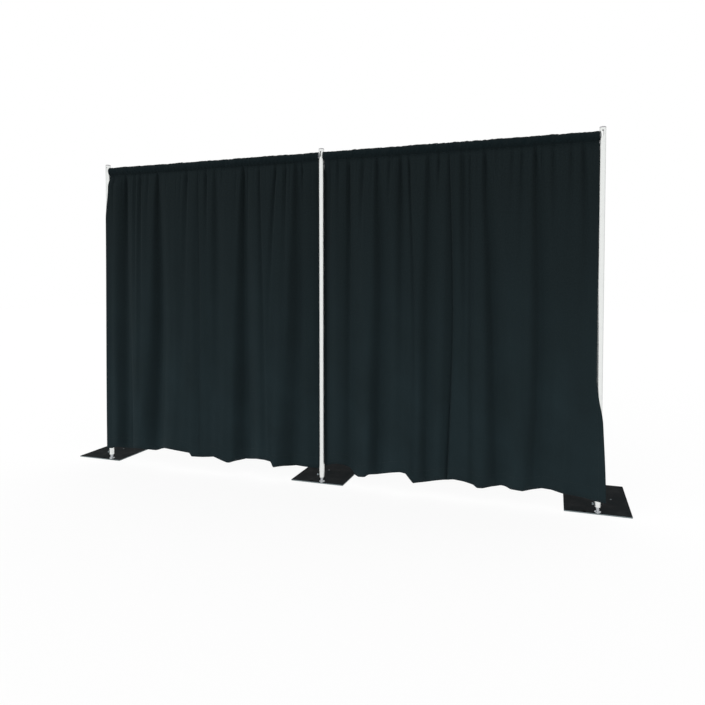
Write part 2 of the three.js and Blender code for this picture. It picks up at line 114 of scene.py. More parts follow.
def linear(code: str) -> tuple[float, float, float, float]:
    """Turns an sRGB hex colour into linear light.

    Args:
        code: Six hex digits after a #.

    Returns:
        Red, green, blue and an alpha of one.
    """
    parts = [int(code[i:i + 2], 16) / 255 for i in (1, 3, 5)]
    light = [c / 12.92 if c <= 0.04045 else ((c + 0.055) / 1.055) ** 2.4 for c in parts]
    return light[0], light[1], light[2], 1.0


def per_metre(size_mm: float) -> float:
    """Returns the scale at which a pattern repeats once in a size given in millimetres."""
    return 1000 / size_mm


def set_inputs(node: bpy.types.Node, **inputs: object) -> None:
    """Gives a node's sockets their values and links.

    Args:
        node: The node.
        **inputs: Socket names, with _ for a space, or i0, i1 for a place in the list. Each is a
            plain value or another node's output socket.
    """
    for name, value in inputs.items():
        numbered = name[0] == "i" and name[1:].isdigit()
        socket = node.inputs[int(name[1:])] if numbered else node.inputs[name.replace("_", " ")]
        if isinstance(value, bpy.types.NodeSocket):
            node.id_data.links.new(value, socket)
        else:
            socket.default_value = value


def add_node(tree: bpy.types.NodeTree, kind: str, settings: dict | None = None,
             **inputs: object) -> bpy.types.Node:
    """Adds a shader node with its settings, values and links.

    Args:
        tree: The node tree that gets it.
        kind: The node's Blender type.
        settings: Properties of the node itself.
        **inputs: Its sockets' values and links, as set_inputs takes them.

    Returns:
        The new node.
    """
    node = tree.nodes.new(kind)
    for name, value in (settings or {}).items():
        setattr(node, name, value)
    set_inputs(node, **inputs)
    return node


class Axis(Enum):
    """The direction that a drawn or brushed grain runs in."""

    ALONG_X = (1.0, GRAIN_STRETCH, GRAIN_STRETCH)
    ALONG_Z = (GRAIN_STRETCH, GRAIN_STRETCH, 1.0)


@dataclass(frozen=True)
class Finish:
    """What every finish shares: its name and how it starts a material."""

    name: str

    def begin(self) -> tuple[bpy.types.Material, bpy.types.NodeTree, bpy.types.Node,
                             bpy.types.NodeSocket]:
        """Starts the material.

        Returns:
            The material, its tree, its surface shader and object coordinates in metres.
        """
        material = bpy.data.materials.new(self.name)
        material.use_nodes = True
        tree = material.node_tree
        place = add_node(tree, "ShaderNodeTexCoord").outputs["Object"]
        return material, tree, tree.nodes["Principled BSDF"], place


@dataclass(frozen=True)
class AnodisedAluminium(Finish):
    """Drawn aluminium tube, etched and clear anodised: near white, satin, with faint lines along
    its length and a few handling marks."""

    colour: str = "#eceeec"
    marks: str = "#d6d8d8"
    rim: str = "#858787"
    roughness: float = 0.34
    swing: tuple[float, float] = (-0.06, 0.08)
    grain: Axis = Axis.ALONG_Z
    line_mm: float = 1.2
    line_depth: float = 0.0002
    mark_mm: float = 71.43
    most_marked: float = 0.45

    def build(self) -> bpy.types.Material:
        """Makes the material.

        Returns:
            The finished material.
        """
        material, tree, shader, place = self.begin()
        stretch = add_node(tree, "ShaderNodeMapping", Vector=place, Scale=self.grain.value)
        lines = add_node(tree, "ShaderNodeTexNoise", Vector=stretch.outputs[0],
                         Scale=per_metre(self.line_mm * GRAIN_STRETCH), Detail=3.0)
        rubs = add_node(tree, "ShaderNodeTexNoise", Vector=place,
                        Scale=per_metre(self.mark_mm), Detail=6.0, Roughness=0.7)
        overlay = add_node(tree, "ShaderNodeMapRange", Value=rubs.outputs[0],
                        i1=0.56, i2=0.74, i3=0.0, i4=self.most_marked)
        tone = add_node(tree, "ShaderNodeMix", {"data_type": "RGBA"}, i0=overlay.outputs[0],
                        i6=linear(self.colour), i7=linear(self.marks))
        rough = add_node(tree, "ShaderNodeMapRange", Value=lines.outputs[0],
                         i1=NOISE_LOW, i2=NOISE_HIGH, i3=self.roughness + self.swing[0],
                         i4=self.roughness + self.swing[1])
        bump = add_node(tree, "ShaderNodeBump", Height=lines.outputs[0], Strength=0.12,
                        Distance=self.line_depth)
        set_inputs(shader, Metallic=1.0, Specular_Tint=linear(self.rim),
                   Base_Color=tone.outputs[2], Roughness=rough.outputs[0],
                   Normal=bump.outputs[0])
        return material


@dataclass(frozen=True)
class ZincPlatedSteel(Finish):
    """Turned or stamped steel with bright zinc plate: a grey metal with a faint cloudy spangle."""

    colour: str = "#c2c5c7"
    cloud: str = "#a2a6ab"
    roughness: float = 0.3
    swing: tuple[float, float] = (-0.07, 0.1)
    cloud_mm: float = 6.0
    pit_mm: float = 0.4
    pit_depth: float = 0.0001

    def build(self) -> bpy.types.Material:
        """Makes the material.

        Returns:
            The finished material.
        """
        material, tree, shader, place = self.begin()
        cloud = add_node(tree, "ShaderNodeTexNoise", Vector=place,
                         Scale=per_metre(self.cloud_mm), Detail=5.0)
        pits = add_node(tree, "ShaderNodeTexNoise", Vector=place,
                        Scale=per_metre(self.pit_mm), Detail=2.0)
        tone = add_node(tree, "ShaderNodeMix", {"data_type": "RGBA"}, i0=cloud.outputs[0],
                        i6=linear(self.colour), i7=linear(self.cloud))
        rough = add_node(tree, "ShaderNodeMapRange", Value=cloud.outputs[0],
                         i1=NOISE_LOW, i2=NOISE_HIGH, i3=self.roughness + self.swing[0],
                         i4=self.roughness + self.swing[1])
        bump = add_node(tree, "ShaderNodeBump", Height=pits.outputs[0], Strength=0.1,
                        Distance=self.pit_depth)
        set_inputs(shader, Metallic=1.0, Base_Color=tone.outputs[2],
                   Roughness=rough.outputs[0], Normal=bump.outputs[0])
        return material


@dataclass(frozen=True)
class BlackPowderCoat(Finish):
    """Sheet steel with a baked black powder coat: a fine orange peel, scuffs and a light dusting,
    and a painted highlight of light teal along its cut edges, stronger towards the top."""

    colour: str = "#121618"
    scuff: str = "#1f2527"
    edge: str = "#9dabae"
    roughness: float = 0.62
    swing: tuple[float, float] = (-0.08, 0.16)
    ior: float = 1.5
    gloss: float = 0.018
    peel_mm: float = 1.6
    peel_depth: float = 0.0003
    scuff_mm: float = 111.1
    most_scuffed: float = 0.7
    edge_highlight_low: float = 0.3
    edge_highlight_high: float = 0.95
    thickness: float = 0.00635

    def build(self) -> bpy.types.Material:
        """Makes the material.

        Returns:
            The finished material.
        """
        material, tree, shader, place = self.begin()
        peel = add_node(tree, "ShaderNodeTexNoise", Vector=place,
                        Scale=per_metre(self.peel_mm), Detail=2.0)
        patch = add_node(tree, "ShaderNodeTexNoise", Vector=place,
                         Scale=per_metre(self.scuff_mm), Detail=8.0, Roughness=0.65)
        scuffed = add_node(tree, "ShaderNodeMapRange", Value=patch.outputs[0],
                           i1=0.5, i2=0.78, i3=0.0, i4=self.most_scuffed)
        tone = add_node(tree, "ShaderNodeMix", {"data_type": "RGBA"}, i0=scuffed.outputs[0],
                        i6=linear(self.colour), i7=linear(self.scuff))
        # The faces turned sideways are the cut edges. They get a painted highlight, stronger
        # towards the top, for the edges catching the light.
        face = add_node(tree, "ShaderNodeNewGeometry")
        normal = add_node(tree, "ShaderNodeSeparateXYZ", Vector=face.outputs["True Normal"])
        up = add_node(tree, "ShaderNodeMath", {"operation": "ABSOLUTE"}, i0=normal.outputs[2])
        side = add_node(tree, "ShaderNodeMath", {"operation": "LESS_THAN"},
                        i0=up.outputs[0], i1=0.5)
        height = add_node(tree, "ShaderNodeSeparateXYZ", Vector=place)
        rim = add_node(tree, "ShaderNodeMapRange", Value=height.outputs[2],
                       i1=0.0, i2=self.thickness, i3=self.edge_highlight_low, i4=self.edge_highlight_high)
        edge_highlight_mask = add_node(tree, "ShaderNodeMath", {"operation": "MULTIPLY"},
                          i0=rim.outputs[0], i1=side.outputs[0])
        overlay = add_node(tree, "ShaderNodeMix", {"data_type": "RGBA"}, i0=edge_highlight_mask.outputs[0],
                        i6=tone.outputs[2], i7=linear(self.edge))
        rough = add_node(tree, "ShaderNodeMapRange", Value=patch.outputs[0],
                         i1=0.35, i2=NOISE_HIGH, i3=self.roughness + self.swing[0],
                         i4=self.roughness + self.swing[1])
        bump = add_node(tree, "ShaderNodeBump", Height=peel.outputs[0], Strength=0.25,
                        Distance=self.peel_depth)
        set_inputs(shader, IOR=self.ior, Specular_IOR_Level=self.gloss,
                   Base_Color=overlay.outputs[2], Roughness=rough.outputs[0],
                   Normal=bump.outputs[0])
        return material


@dataclass(frozen=True)
class MouldedNylon(Finish):
    """Injection moulded nylon: an even satin surface with a fine spark grain from the mould."""

    colour: str = "#b4b1b6"
    shade: str = "#9a989d"
    roughness: float = 0.48
    swing: tuple[float, float] = (-0.05, 0.08)
    ior: float = 1.53
    gloss: float = 0.5
    grain_mm: float = 0.9
    grain_depth: float = 0.0002
    flow_mm: float = 16.67

    def build(self) -> bpy.types.Material:
        """Makes the material.

        Returns:
            The finished material.
        """
        material, tree, shader, place = self.begin()
        spark = add_node(tree, "ShaderNodeTexNoise", Vector=place,
                         Scale=per_metre(self.grain_mm), Detail=2.0)
        flow = add_node(tree, "ShaderNodeTexNoise", Vector=place,
                        Scale=per_metre(self.flow_mm), Detail=3.0)
        tone = add_node(tree, "ShaderNodeMix", {"data_type": "RGBA"}, i0=flow.outputs[0],
                        i6=linear(self.colour), i7=linear(self.shade))
        rough = add_node(tree, "ShaderNodeMapRange", Value=flow.outputs[0],
                         i1=NOISE_LOW, i2=NOISE_HIGH, i3=self.roughness + self.swing[0],
                         i4=self.roughness + self.swing[1])
        bump = add_node(tree, "ShaderNodeBump", Height=spark.outputs[0], Strength=0.15,
                        Distance=self.grain_depth)
        set_inputs(shader, IOR=self.ior, Specular_IOR_Level=self.gloss,
                   Base_Color=tone.outputs[2], Roughness=rough.outputs[0],
                   Normal=bump.outputs[0])
        return material


@dataclass(frozen=True)
class WovenPolyester(Finish):
    """Piece-dyed black polyester drape cloth: a dull plain weave with a teal cast, a soft nap
    that catches light at grazing angles, painted light that makes it lighter towards the floor,
    and painted shade between the gathers on the rod. The threads are drawn about five times as
    coarse as the real 0.45 mm ones so that the weave shows."""

    colour: str = "#12191b"
    slub: str = "#1d2628"
    painted_low_light: str = "#233034"
    painted_gather_shade: str = "#101a1d"
    nap: str = "#8fa3a8"
    roughness: float = 0.92
    ior: float = 1.45
    gloss: float = 0.1
    sheen: float = 0.04
    sheen_roughness: float = 0.5
    thread_mm: float = 2.2
    thread_depth: float = 0.0004
    thread_waver: float = 0.6
    slub_mm: float = 2.381
    mottle_mm: float = 10.526
    bolt_mm: float = 400.0
    low_light_from: float = 2.1
    low_light_to: float = 0.2
    least_low_light: float = 0.55
    seam_height: float = 2.346
    gather_shade_below: float = 0.016
    gather_shade_above: float = 0.014
    ragged: float = 0.014
    ruffle_scale: tuple[float, float, float] = (60.0, 60.0, 14.0)
    least_gather_shade: float = 0.35

    def build(self) -> bpy.types.Material:
        """Makes the material.

        Returns:
            The finished material.
        """
        material, tree, shader, place = self.begin()
        cloth = add_node(tree, "ShaderNodeUVMap", {"uv_map": "cloth"}).outputs[0]
        across, along = (
            add_node(tree, "ShaderNodeTexWave", {"bands_direction": way}, Vector=cloth,
                     Scale=WAVE_REPEAT * per_metre(self.thread_mm), Distortion=self.thread_waver)
            for way in ("X", "Y")
        )
        weave = add_node(tree, "ShaderNodeMath", {"operation": "MULTIPLY"},
                         i0=across.outputs["Fac"], i1=along.outputs["Fac"])
        speck = add_node(tree, "ShaderNodeTexNoise", Vector=cloth,
                         Scale=per_metre(self.slub_mm), Detail=4.0, Roughness=0.7)
        bolt = add_node(tree, "ShaderNodeTexNoise", Vector=cloth,
                        Scale=per_metre(self.bolt_mm), Detail=4.0)
        mottle = add_node(tree, "ShaderNodeTexNoise", Vector=cloth,
                          Scale=per_metre(self.mottle_mm), Detail=2.0)
        mixed = add_node(tree, "ShaderNodeMath", {"operation": "ADD"},
                         i0=speck.outputs[0], i1=mottle.outputs[0])
        thread = add_node(tree, "ShaderNodeMapRange", Value=mixed.outputs[0],
                          i1=0.65, i2=1.35, i3=0.0, i4=1.0)
        tone = add_node(tree, "ShaderNodeMix", {"data_type": "RGBA"}, i0=thread.outputs[0],
                        i6=linear(self.colour), i7=linear(self.slub))
        height = add_node(tree, "ShaderNodeSeparateXYZ", Vector=place)
        # Painted light: from about 2.1 m down to the floor the colour is mixed, in patchy clouds,
        # towards a lighter teal, so the lower cloth looks more lit.
        low = add_node(tree, "ShaderNodeMapRange", Value=height.outputs[2],
                       i1=self.low_light_from, i2=self.low_light_to, i3=0.0, i4=1.0)
        cloudy = add_node(tree, "ShaderNodeMapRange", Value=bolt.outputs[0],
                          i1=NOISE_LOW, i2=NOISE_HIGH, i3=self.least_low_light, i4=1.0)
        uneven = add_node(tree, "ShaderNodeMath", {"operation": "MULTIPLY"},
                          i0=low.outputs[0], i1=cloudy.outputs[0])
        low_lit_tone = add_node(tree, "ShaderNodeMix", {"data_type": "RGBA"}, i0=uneven.outputs[0],
                         i6=tone.outputs[2], i7=linear(self.painted_low_light))
        # Painted shade: cloth bunched on the rod is darkened in vertical streaks, above a ragged
        # line near the seam, for the shade between its gathers.
        upright = add_node(tree, "ShaderNodeVectorMath", {"operation": "MULTIPLY"},
                           i0=place, i1=self.ruffle_scale)
        ruffles = add_node(tree, "ShaderNodeTexNoise", Vector=upright.outputs[0],
                           Scale=1.0, Detail=3.0)
        ragged = add_node(tree, "ShaderNodeMapRange", Value=ruffles.outputs[0],
                          i1=NOISE_LOW, i2=NOISE_HIGH, i3=-self.ragged, i4=self.ragged)
        level = add_node(tree, "ShaderNodeMath", {"operation": "ADD"},
                         i0=height.outputs[2], i1=ragged.outputs[0])
        gather_shade_band = add_node(tree, "ShaderNodeMapRange", Value=level.outputs[0],
                          i1=self.seam_height - self.gather_shade_below,
                          i2=self.seam_height + self.gather_shade_above, i3=0.0, i4=1.0)
        streak = add_node(tree, "ShaderNodeMapRange", Value=ruffles.outputs[0],
                          i1=0.35, i2=0.65, i3=1.0, i4=self.least_gather_shade)
        gather_shade = add_node(tree, "ShaderNodeMath", {"operation": "MULTIPLY"},
                        i0=gather_shade_band.outputs[0], i1=streak.outputs[0])
        shown = add_node(tree, "ShaderNodeMix", {"data_type": "RGBA"}, i0=gather_shade.outputs[0],
                         i6=low_lit_tone.outputs[2], i7=linear(self.painted_gather_shade))
        relief = add_node(tree, "ShaderNodeMath", {"operation": "ADD"},
                          i0=weave.outputs[0], i1=speck.outputs[0])
        bump = add_node(tree, "ShaderNodeBump", Height=relief.outputs[0], Strength=0.3,
                        Distance=self.thread_depth)
        set_inputs(shader, Roughness=self.roughness, IOR=self.ior,
                   Specular_IOR_Level=self.gloss, Sheen_Weight=self.sheen,
                   Sheen_Roughness=self.sheen_roughness, Sheen_Tint=linear(self.nap),
                   Base_Color=shown.outputs[2], Normal=bump.outputs[0])
        return material


@dataclass(frozen=True)
class SewingThread(Finish):
    """Spun polyester thread of the cloth's own black, smoother than the weave."""

    colour: str = "#1c2426"
    shade: str = "#141a1c"
    roughness: float = 0.6
    twist_mm: float = 0.5556

    def build(self) -> bpy.types.Material:
        """Makes the material.

        Returns:
            The finished material.
        """
        material, tree, shader, place = self.begin()
        twist = add_node(tree, "ShaderNodeTexNoise", Vector=place,
                         Scale=per_metre(self.twist_mm), Detail=2.0)
        tone = add_node(tree, "ShaderNodeMix", {"data_type": "RGBA"}, i0=twist.outputs[0],
                        i6=linear(self.colour), i7=linear(self.shade))
        set_inputs(shader, Roughness=self.roughness, Base_Color=tone.outputs[2])
        return material


class Wing(Enum):
    """The screen's two halves, by the way they run from the centre upright."""

    LEFT = -1
    RIGHT = 1


class Half(Enum):
    """Which half of a telescopic bar a drape hangs on."""

    NEAR = "near"
    FAR = "far"


@dataclass(frozen=True)
class Screen:
    """Places on the screen that the cloth hangs by, taken from the model's own nodes."""

    post_x: float
    post_y: float
    bar_z: float
    span: float
    post_radius: float = 0.01905

    @classmethod
    def measured(cls) -> "Screen":
        """Takes the places from the posts and the left bar.

        Returns:
            The places as the model has them.
        """
        low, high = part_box("centre_upright_tube")
        bar_low, bar_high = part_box("left_bar_outer_tube")
        far_low, far_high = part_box("right_upright_tube")
        return cls(
            post_x=(low.x + high.x) / 2,
            post_y=(low.y + high.y) / 2,
            bar_z=(bar_low.z + bar_high.z) / 2,
            span=(far_low.x + far_high.x - low.x - high.x) / 2,
        )


def smooth(value: np.ndarray, start: float, stop: float) -> np.ndarray:
    """Returns 0 before start, 1 after stop and a smooth ramp between."""
    t = np.clip((value - start) / max(stop - start, 1e-9), 0, 1)
    return t * t * (3 - 2 * t)


def graded(top: float, hem: float, level: np.ndarray, power: float) -> np.ndarray:
    """Returns a size that goes from its value at the seam to that at the hem by a power."""
    return top + (hem - top) * level ** power


def flank_curve(done: np.ndarray, slack: np.ndarray) -> np.ndarray:
    """Returns how far a flank has come forward, round at its crest and, with slack, its foot."""
    return (1 - slack) * np.sin(np.pi / 2 * done) + slack * (1 - np.cos(np.pi * done)) / 2


def soft_turn(level: np.ndarray | float) -> np.ndarray:
    """Returns a ramp that starts half way down, round a soft bend."""
    return FOLD_BEND * np.logaddexp(0, (level - 0.5) / FOLD_BEND)


def follow(places: tuple[float, float, float], level: np.ndarray) -> np.ndarray:
    """Follows three shares of the span, at the pocket, half way and the hem, round a soft bend.

    Args:
        places: The three shares.
        level: Shares of the drop from the seam to the hem.

    Returns:
        The share of the span at each level.
    """
    top, middle, hem = places
    first, second = 2 * (middle - top), 2 * (hem - middle)
    return top + first * level + (second - first) * (soft_turn(level) - soft_turn(0.0))


@dataclass(frozen=True)
class Valley:
    """A place that folds hang between: shares of the span at the pocket, half way and the hem,
    and how deep it lies at the pocket and the hem. Below zero it comes out towards the crests."""

    places: tuple[float, float, float]
    top_depth: float = 1.0
    hem_depth: float = 1.0
    shift: float = 0.0

    def share(self, level: np.ndarray) -> np.ndarray:
        """Returns its share of the span at each level."""
        return follow(self.places, level)

    def depth(self, level: np.ndarray) -> np.ndarray:
        """Returns how deep it lies at each level."""
        return self.top_depth + (self.hem_depth - self.top_depth) * level


@dataclass(frozen=True)
class Crease:
    """A narrow gather that starts at the pocket seam and runs down between the main folds.

    The places are shares of the span as for a valley. The depth is in metres at the seam, the life
    is the share of the drop over which it fades, and the width is its half width at the seam. One
    that grows is deepest at the hem instead."""

    places: tuple[float, float, float]
    deep: float
    life: float
    wide: float = 0.009
    grows: bool = False
    growth_power: float = 3.0
    fade_power: float = 1.6
    widening: float = 1.8
    widening_power: float = 0.6

    def depth(self, level: np.ndarray) -> np.ndarray:
        """Returns how deep it is at each level."""
        fading = np.exp(-((level / self.life) ** self.fade_power))
        return self.deep * (level ** self.growth_power if self.grows else fading)

    def half_width(self, level: np.ndarray) -> np.ndarray:
        """Returns its half width at each level."""
        return self.wide * (1 + self.widening * level ** self.widening_power)


@dataclass(frozen=True)
class Knot:
    """A point of the fold line at each level: x, y, how far forward its neighbours start, and
    whether it stands beside a post or carries a flat stretch."""

    x: np.ndarray
    y: np.ndarray
    front: np.ndarray
    beside: bool = False
    flat: bool = False


@dataclass
class Cloth:
    """The sizes of one panel and how it hangs. Shares are of the drop where they aren't of a
    fold's width, and a power says how soon a size changes on the way down."""

    flat: tuple[float, float] = (1.219, 2.50)
    thickness: float = 0.0009
    column: float = 0.0029
    leaf_rows: int = 76
    row_power: float = 1.35
    arc_rows: int = 14

    pocket: float = 0.062
    pocket_radius: float = 0.0245
    pocket_drop: float = 0.0026
    pocket_side: float = math.radians(33)
    pocket_bow: float = 0.002
    pocket_fullness: float = 0.0020
    front_shares: tuple[float, ...] = (0.14, 0.3, 0.5, 0.75)
    back_shares: tuple[float, ...] = (0.75, 0.5, 0.3, 0.14, 0.03, -0.08)
    back_layers: float = 2.2
    crinkles: tuple[tuple[float, float], ...] = (
        (0.009, 0.0012), (0.014, 0.0018), (0.024, 0.0018), (0.05, 0.0012))
    crinkle_most: float = 0.0036
    crinkle_front: float = 0.9
    crinkle_power: float = 0.5
    crinkle_top: float = 0.8
    crinkle_roll: float = 6
    crinkle_seed_step: int = 100
    flute_pitch: float = 0.027
    flute_drift: float = 0.19
    flute_sway: float = 1.6
    flute_depth: float = 0.0018

    fold_front: float = 0.072
    fold_back: float = 0.037
    fold_pitch: float = 0.170
    fold_power: float = 0.4
    flank_top: float = 0.014
    flank_hem: float = 0.100
    flank_power: float = 0.8
    flank_share: float = 0.38
    edge_flank_share: float = 0.6
    rise_top: float = 0.060
    rise_hem: float = 0.185
    rise_power: float = 0.7
    slack_hem: float = 0.6
    slack_power: float = 0.5
    knot_crowding: float = 0.55
    hold_width: float = 0.02
    hold_columns: int = 6
    round_top: float = 0.007
    round_hem: float = 0.032
    round_power: float = 0.7
    round_steps: int = 8

    standoff: float = 0.0007
    tuck: float = 0.003
    turn_ease: float = 0.006
    past_post: float = 0.0051
    near_settle: float = 0.05
    far_settle: float = 0.03
    pass_share: float = 0.12
    seam_share: float = 0.35
    wrap_x: float = 0.0042
    wrap_y: float = 0.0125
    under_lap: float = 0.016
    under_back: tuple[float, float] = (0.004, 0.009)
    lap_tuck: float = 0.0022
    lap_sink: float = 0.0006

    crease_share: float = 0.74
    crease_sides: tuple[float, float] = (0.75, 1.25)
    gather_pitch: float = 0.050
    gather_shift: float = 0.35
    gather_drift: tuple[float, float] = (0.006, 0.012)
    gather_lives: tuple[float, ...] = (0.04, 0.08, 0.14)
    gather_odds: tuple[float, ...] = (0.45, 0.35, 0.2)
    gather_depths: tuple[float, float] = (0.003, 0.007)
    gather_widths: tuple[float, float] = (0.004, 0.007)
    wave_count: int = 8
    wave_lengths: tuple[float, float] = (0.07, 0.22)
    wave_phases: tuple[float, float] = (0.0, 6.3)
    wave_lean: float = 3.0
    wave_swells: tuple[float, float] = (3, 9)
    wave_height: float = 0.0012
    wave_least: float = 0.2
    wave_even: float = 0.55

    hem_depth: float = 0.050
    hem_smoothing: int = 9
    hem_sway: float = 0.33
    hem_sway_most: float = 0.03
    side_hem: float = 0.014
    side_layers: float = 1.5
    hem_layers: float = 3.0
    stitch: float = 0.0042
    stitch_gap: float = 0.0016
    stitch_layers: float = 0.55
    stitch_inset: float = 0.004
    side_seam_column: int = 5

    def loosened(self, level: np.ndarray) -> np.ndarray:
        """Returns how free of the seam's pull the cloth is at each level."""
        return self.seam_share + (1 - self.seam_share) * smooth(level, 0, self.far_settle)


@dataclass
class Drape:
    """One cloth panel with a rod pocket, gathered on its half of a bar."""

    wing: Wing
    half: Half
    screen: Screen
    valleys: list[Valley]
    creases: list[Crease]
    hem_heights: tuple[tuple[float, float], ...]
    overhang: float = 0.0
    lap_level: float = 0.0
    edge_reach: float = 0.2
    seed: int = 1
    cloth: Cloth = field(default_factory=Cloth)

    @property
    def name(self) -> str:
        """The panel's node name."""
        return f"{self.wing.name.lower()}_{self.half.value}_drape"

    @property
    def body(self) -> str:
        """The body that carries it."""
        part = "crossbar" if self.half is Half.NEAR else "end"
        return f"{self.wing.name.lower()}_{part}"

    @property
    def laps_under(self) -> bool:
        """Whether its right-hand edge runs on behind its neighbour."""
        return (self.wing is Wing.LEFT) is (self.half is Half.FAR)

    def knots(self, level: np.ndarray) -> list[Knot]:
        """Works out where the folds hang between at each level.

        Args:
            level: Shares of the drop from the seam to the hem.

        Returns:
            The knots from left to right, with x from the centre post and y behind the bar.
        """
        c, s, out = self.cloth, self.screen, self.wing.value
        grown, still, even = level ** c.fold_power, np.zeros_like(level), np.ones_like(level)
        found = [
            Knot(out * (v.share(level) * s.span + v.shift),
                 c.fold_back * v.depth(level) * grown, still)
            for v in self.valleys
        ]
        lift, beside = c.past_post + s.post_radius, s.post_radius + c.standoff
        if self.half is Half.NEAR:
            y = lift * smooth(level, 0, c.near_settle)
            reach = np.sqrt(np.maximum(beside ** 2 - y ** 2, c.tuck ** 2))
            edge = Knot(out * reach, y, still, flat=True)
            turn = Knot(out * (beside + c.turn_ease) * even, y, still, beside=True)
            found = [edge, turn, *found]
        else:
            start = self.lap_level
            touch = smooth(level, 0, c.far_settle)
            aside = smooth(level, start / 2, start)
            past = smooth(level, start, start + c.pass_share)
            loose = c.seam_share + (1 - c.seam_share) * smooth(level, start, 1.0)
            rest_x = s.span - beside + c.wrap_x * touch
            rest_y = -c.wrap_y * touch
            y = rest_y + (-lift - rest_y) * aside
            turn = Knot(out * (s.span - beside - c.turn_ease) * even, y, np.minimum(y, 0),
                        beside=True)
            edge_x = rest_x + (s.span + self.overhang * loose - rest_x) * past
            edge = Knot(out * edge_x, y, still, flat=True)
            found = [*found, turn, edge]
        return found[::-1] if self.wing is Wing.LEFT else found

    def under_lap(self, last: Knot, level: np.ndarray) -> list[Knot]:
        """Lets a panel run on behind its right-hand neighbour where the two meet.

        Args:
            last: The knot at the meeting line.
            level: Shares of the drop.

        Returns:
            That knot a little further back, and the panel's own edge behind the neighbour.
        """
        c = self.cloth
        under = c.loosened(level)
        return [
            Knot(last.x + past * under, last.y + back * under, last.front, flat=True)
            for past, back in zip((0.0, c.under_lap), c.under_back)
        ]

    def fold(self, a: Knot, b: Knot, level: np.ndarray,
             straight: bool) -> tuple[np.ndarray, np.ndarray, np.ndarray]:
        """Hangs the cloth between two knots: a flank forward, a crest and a flank back.

        Args:
            a: The knot on the left.
            b: The knot on the right.
            level: Shares of the drop by row.
            straight: Whether the cloth only runs straight across.

        Returns:
            x and y as rows of levels by columns, and by column how free the cloth is of the
            posts and flat stretches beside it.
        """
        c, down = self.cloth, level[:, None]
        width = float(np.mean(b.x - a.x))
        count = max(3, math.ceil(width / c.column))
        u = np.linspace(0, 1, count, endpoint=False)[None, :]
        ax, ay, by, run = a.x[:, None], a.y[:, None], b.y[:, None], (b.x - a.x)[:, None]
        if straight:
            return ax + run * u, ay + (by - ay) * u, np.zeros(count)
        u = (1 - c.knot_crowding) * u + c.knot_crowding * (1 - np.cos(np.pi * u)) / 2
        at_edge = a.beside or b.beside
        flank = graded(c.flank_top, c.flank_hem, down, c.flank_power)
        share = np.minimum(flank / np.maximum(run, 1e-6), c.flank_share)
        crest = 1 - (c.edge_flank_share if at_edge else share)
        reach = c.fold_front * (1 - np.exp(-run / c.fold_pitch)) * down ** c.fold_power
        start = np.minimum(a.front, b.front)[:, None]
        front = start - reach * (self.edge_reach if at_edge else 1.0)
        climb = graded(c.rise_top, c.rise_hem, down, c.rise_power)
        climbed = np.clip(u / np.minimum(climb / np.maximum(run, 1e-6), crest), 0, 1)
        fallen = np.clip((1 - u) / (1 - crest), 0, 1)
        slack = c.slack_hem * down ** c.slack_power
        left = ay + (front - ay) * flank_curve(climbed, slack)
        right = by + (front - by) * flank_curve(fallen, slack)
        free = np.ones(count)
        for knot, apart in ((a, u[0]), (b, 1 - u[0])):
            if knot.beside or knot.flat:
                free = np.minimum(free, apart * width / c.hold_width)
        return ax + run * u, np.where(u < crest, left, right), free

    def middle(self) -> tuple[np.ndarray, np.ndarray, np.ndarray, np.ndarray]:
        """Lays out the leaf's middle surface below the pocket seam.

        Returns:
            x, y and z as rows of levels by columns, and the distance along the cloth by column.
        """
        c, s = self.cloth, self.screen
        rng = np.random.default_rng(self.seed)
        level = np.linspace(0, 1, c.leaf_rows) ** c.row_power
        knots = self.knots(level)
        if self.laps_under:
            knots = [*knots[:-1], *self.under_lap(knots[-1], level)]
        first, last = knots[0], knots[-1]
        xs, ys, free = zip(*(
            self.fold(a, b, level,
                      (a.flat and (a is first or b.flat)) or (b.flat and b is last))
            for a, b in zip(knots, knots[1:])
        ))
        x = np.concatenate([*xs, last.x[:, None]], axis=1)
        y = np.concatenate([*ys, last.y[:, None]], axis=1)
        hold = np.concatenate([*free, np.zeros(1)])
        columns = np.arange(len(hold))
        hold = np.minimum(hold, np.minimum(columns, columns[::-1]) / c.hold_columns)
        along = np.concatenate([[0], np.cumsum(np.abs(np.diff(x.mean(axis=0))))])
        y = self.relaxed(y, along, level, hold)
        y = y + self.gathers(x, along, level, rng, hold)
        seam = s.bar_z + c.pocket_radius + c.thickness - c.pocket_drop - c.pocket
        heights = np.array(sorted(self.hem_heights))
        hem = np.interp(x[-1], heights[:, 0], heights[:, 1])
        kernel = np.hanning(c.hem_smoothing) / np.hanning(c.hem_smoothing).sum()
        padded = np.pad(hem, c.hem_smoothing // 2, mode="edge")
        sway = c.hem_sway * np.minimum(y[-1], c.hem_sway_most)
        hem = np.convolve(padded, kernel, mode="valid") - sway
        z = seam + (hem - seam)[None, :] * level[:, None]
        return x, y, z, along

    def relaxed(self, y: np.ndarray, along: np.ndarray, level: np.ndarray,
                hold: np.ndarray) -> np.ndarray:
        """Rounds the folds, a little at the pocket and more towards the hem.

        Args:
            y: How far each point lies behind the bar, rows of levels by columns.
            along: Distance across the panel by column.
            level: Shares of the drop by row.
            hold: 0 where the cloth has to keep its place, 1 where it is free, by column.

        Returns:
            The rounded places.
        """
        c = self.cloth
        apart, step = along[:, None] - along[None, :], np.gradient(along)
        widths = np.geomspace(c.round_top, c.round_hem, c.round_steps)
        wanted = graded(c.round_top, c.round_hem, level, c.round_power)
        mixed = np.zeros_like(y)
        for width, picked in zip(widths, np.eye(c.round_steps)):
            weight = np.exp(-((apart / width) ** 2)) * step[None, :]
            soft = y @ (weight / weight.sum(axis=1, keepdims=True)).T
            mixed += soft * np.interp(wanted, widths, picked)[:, None]
        return y + (mixed - y) * hold[None, :]

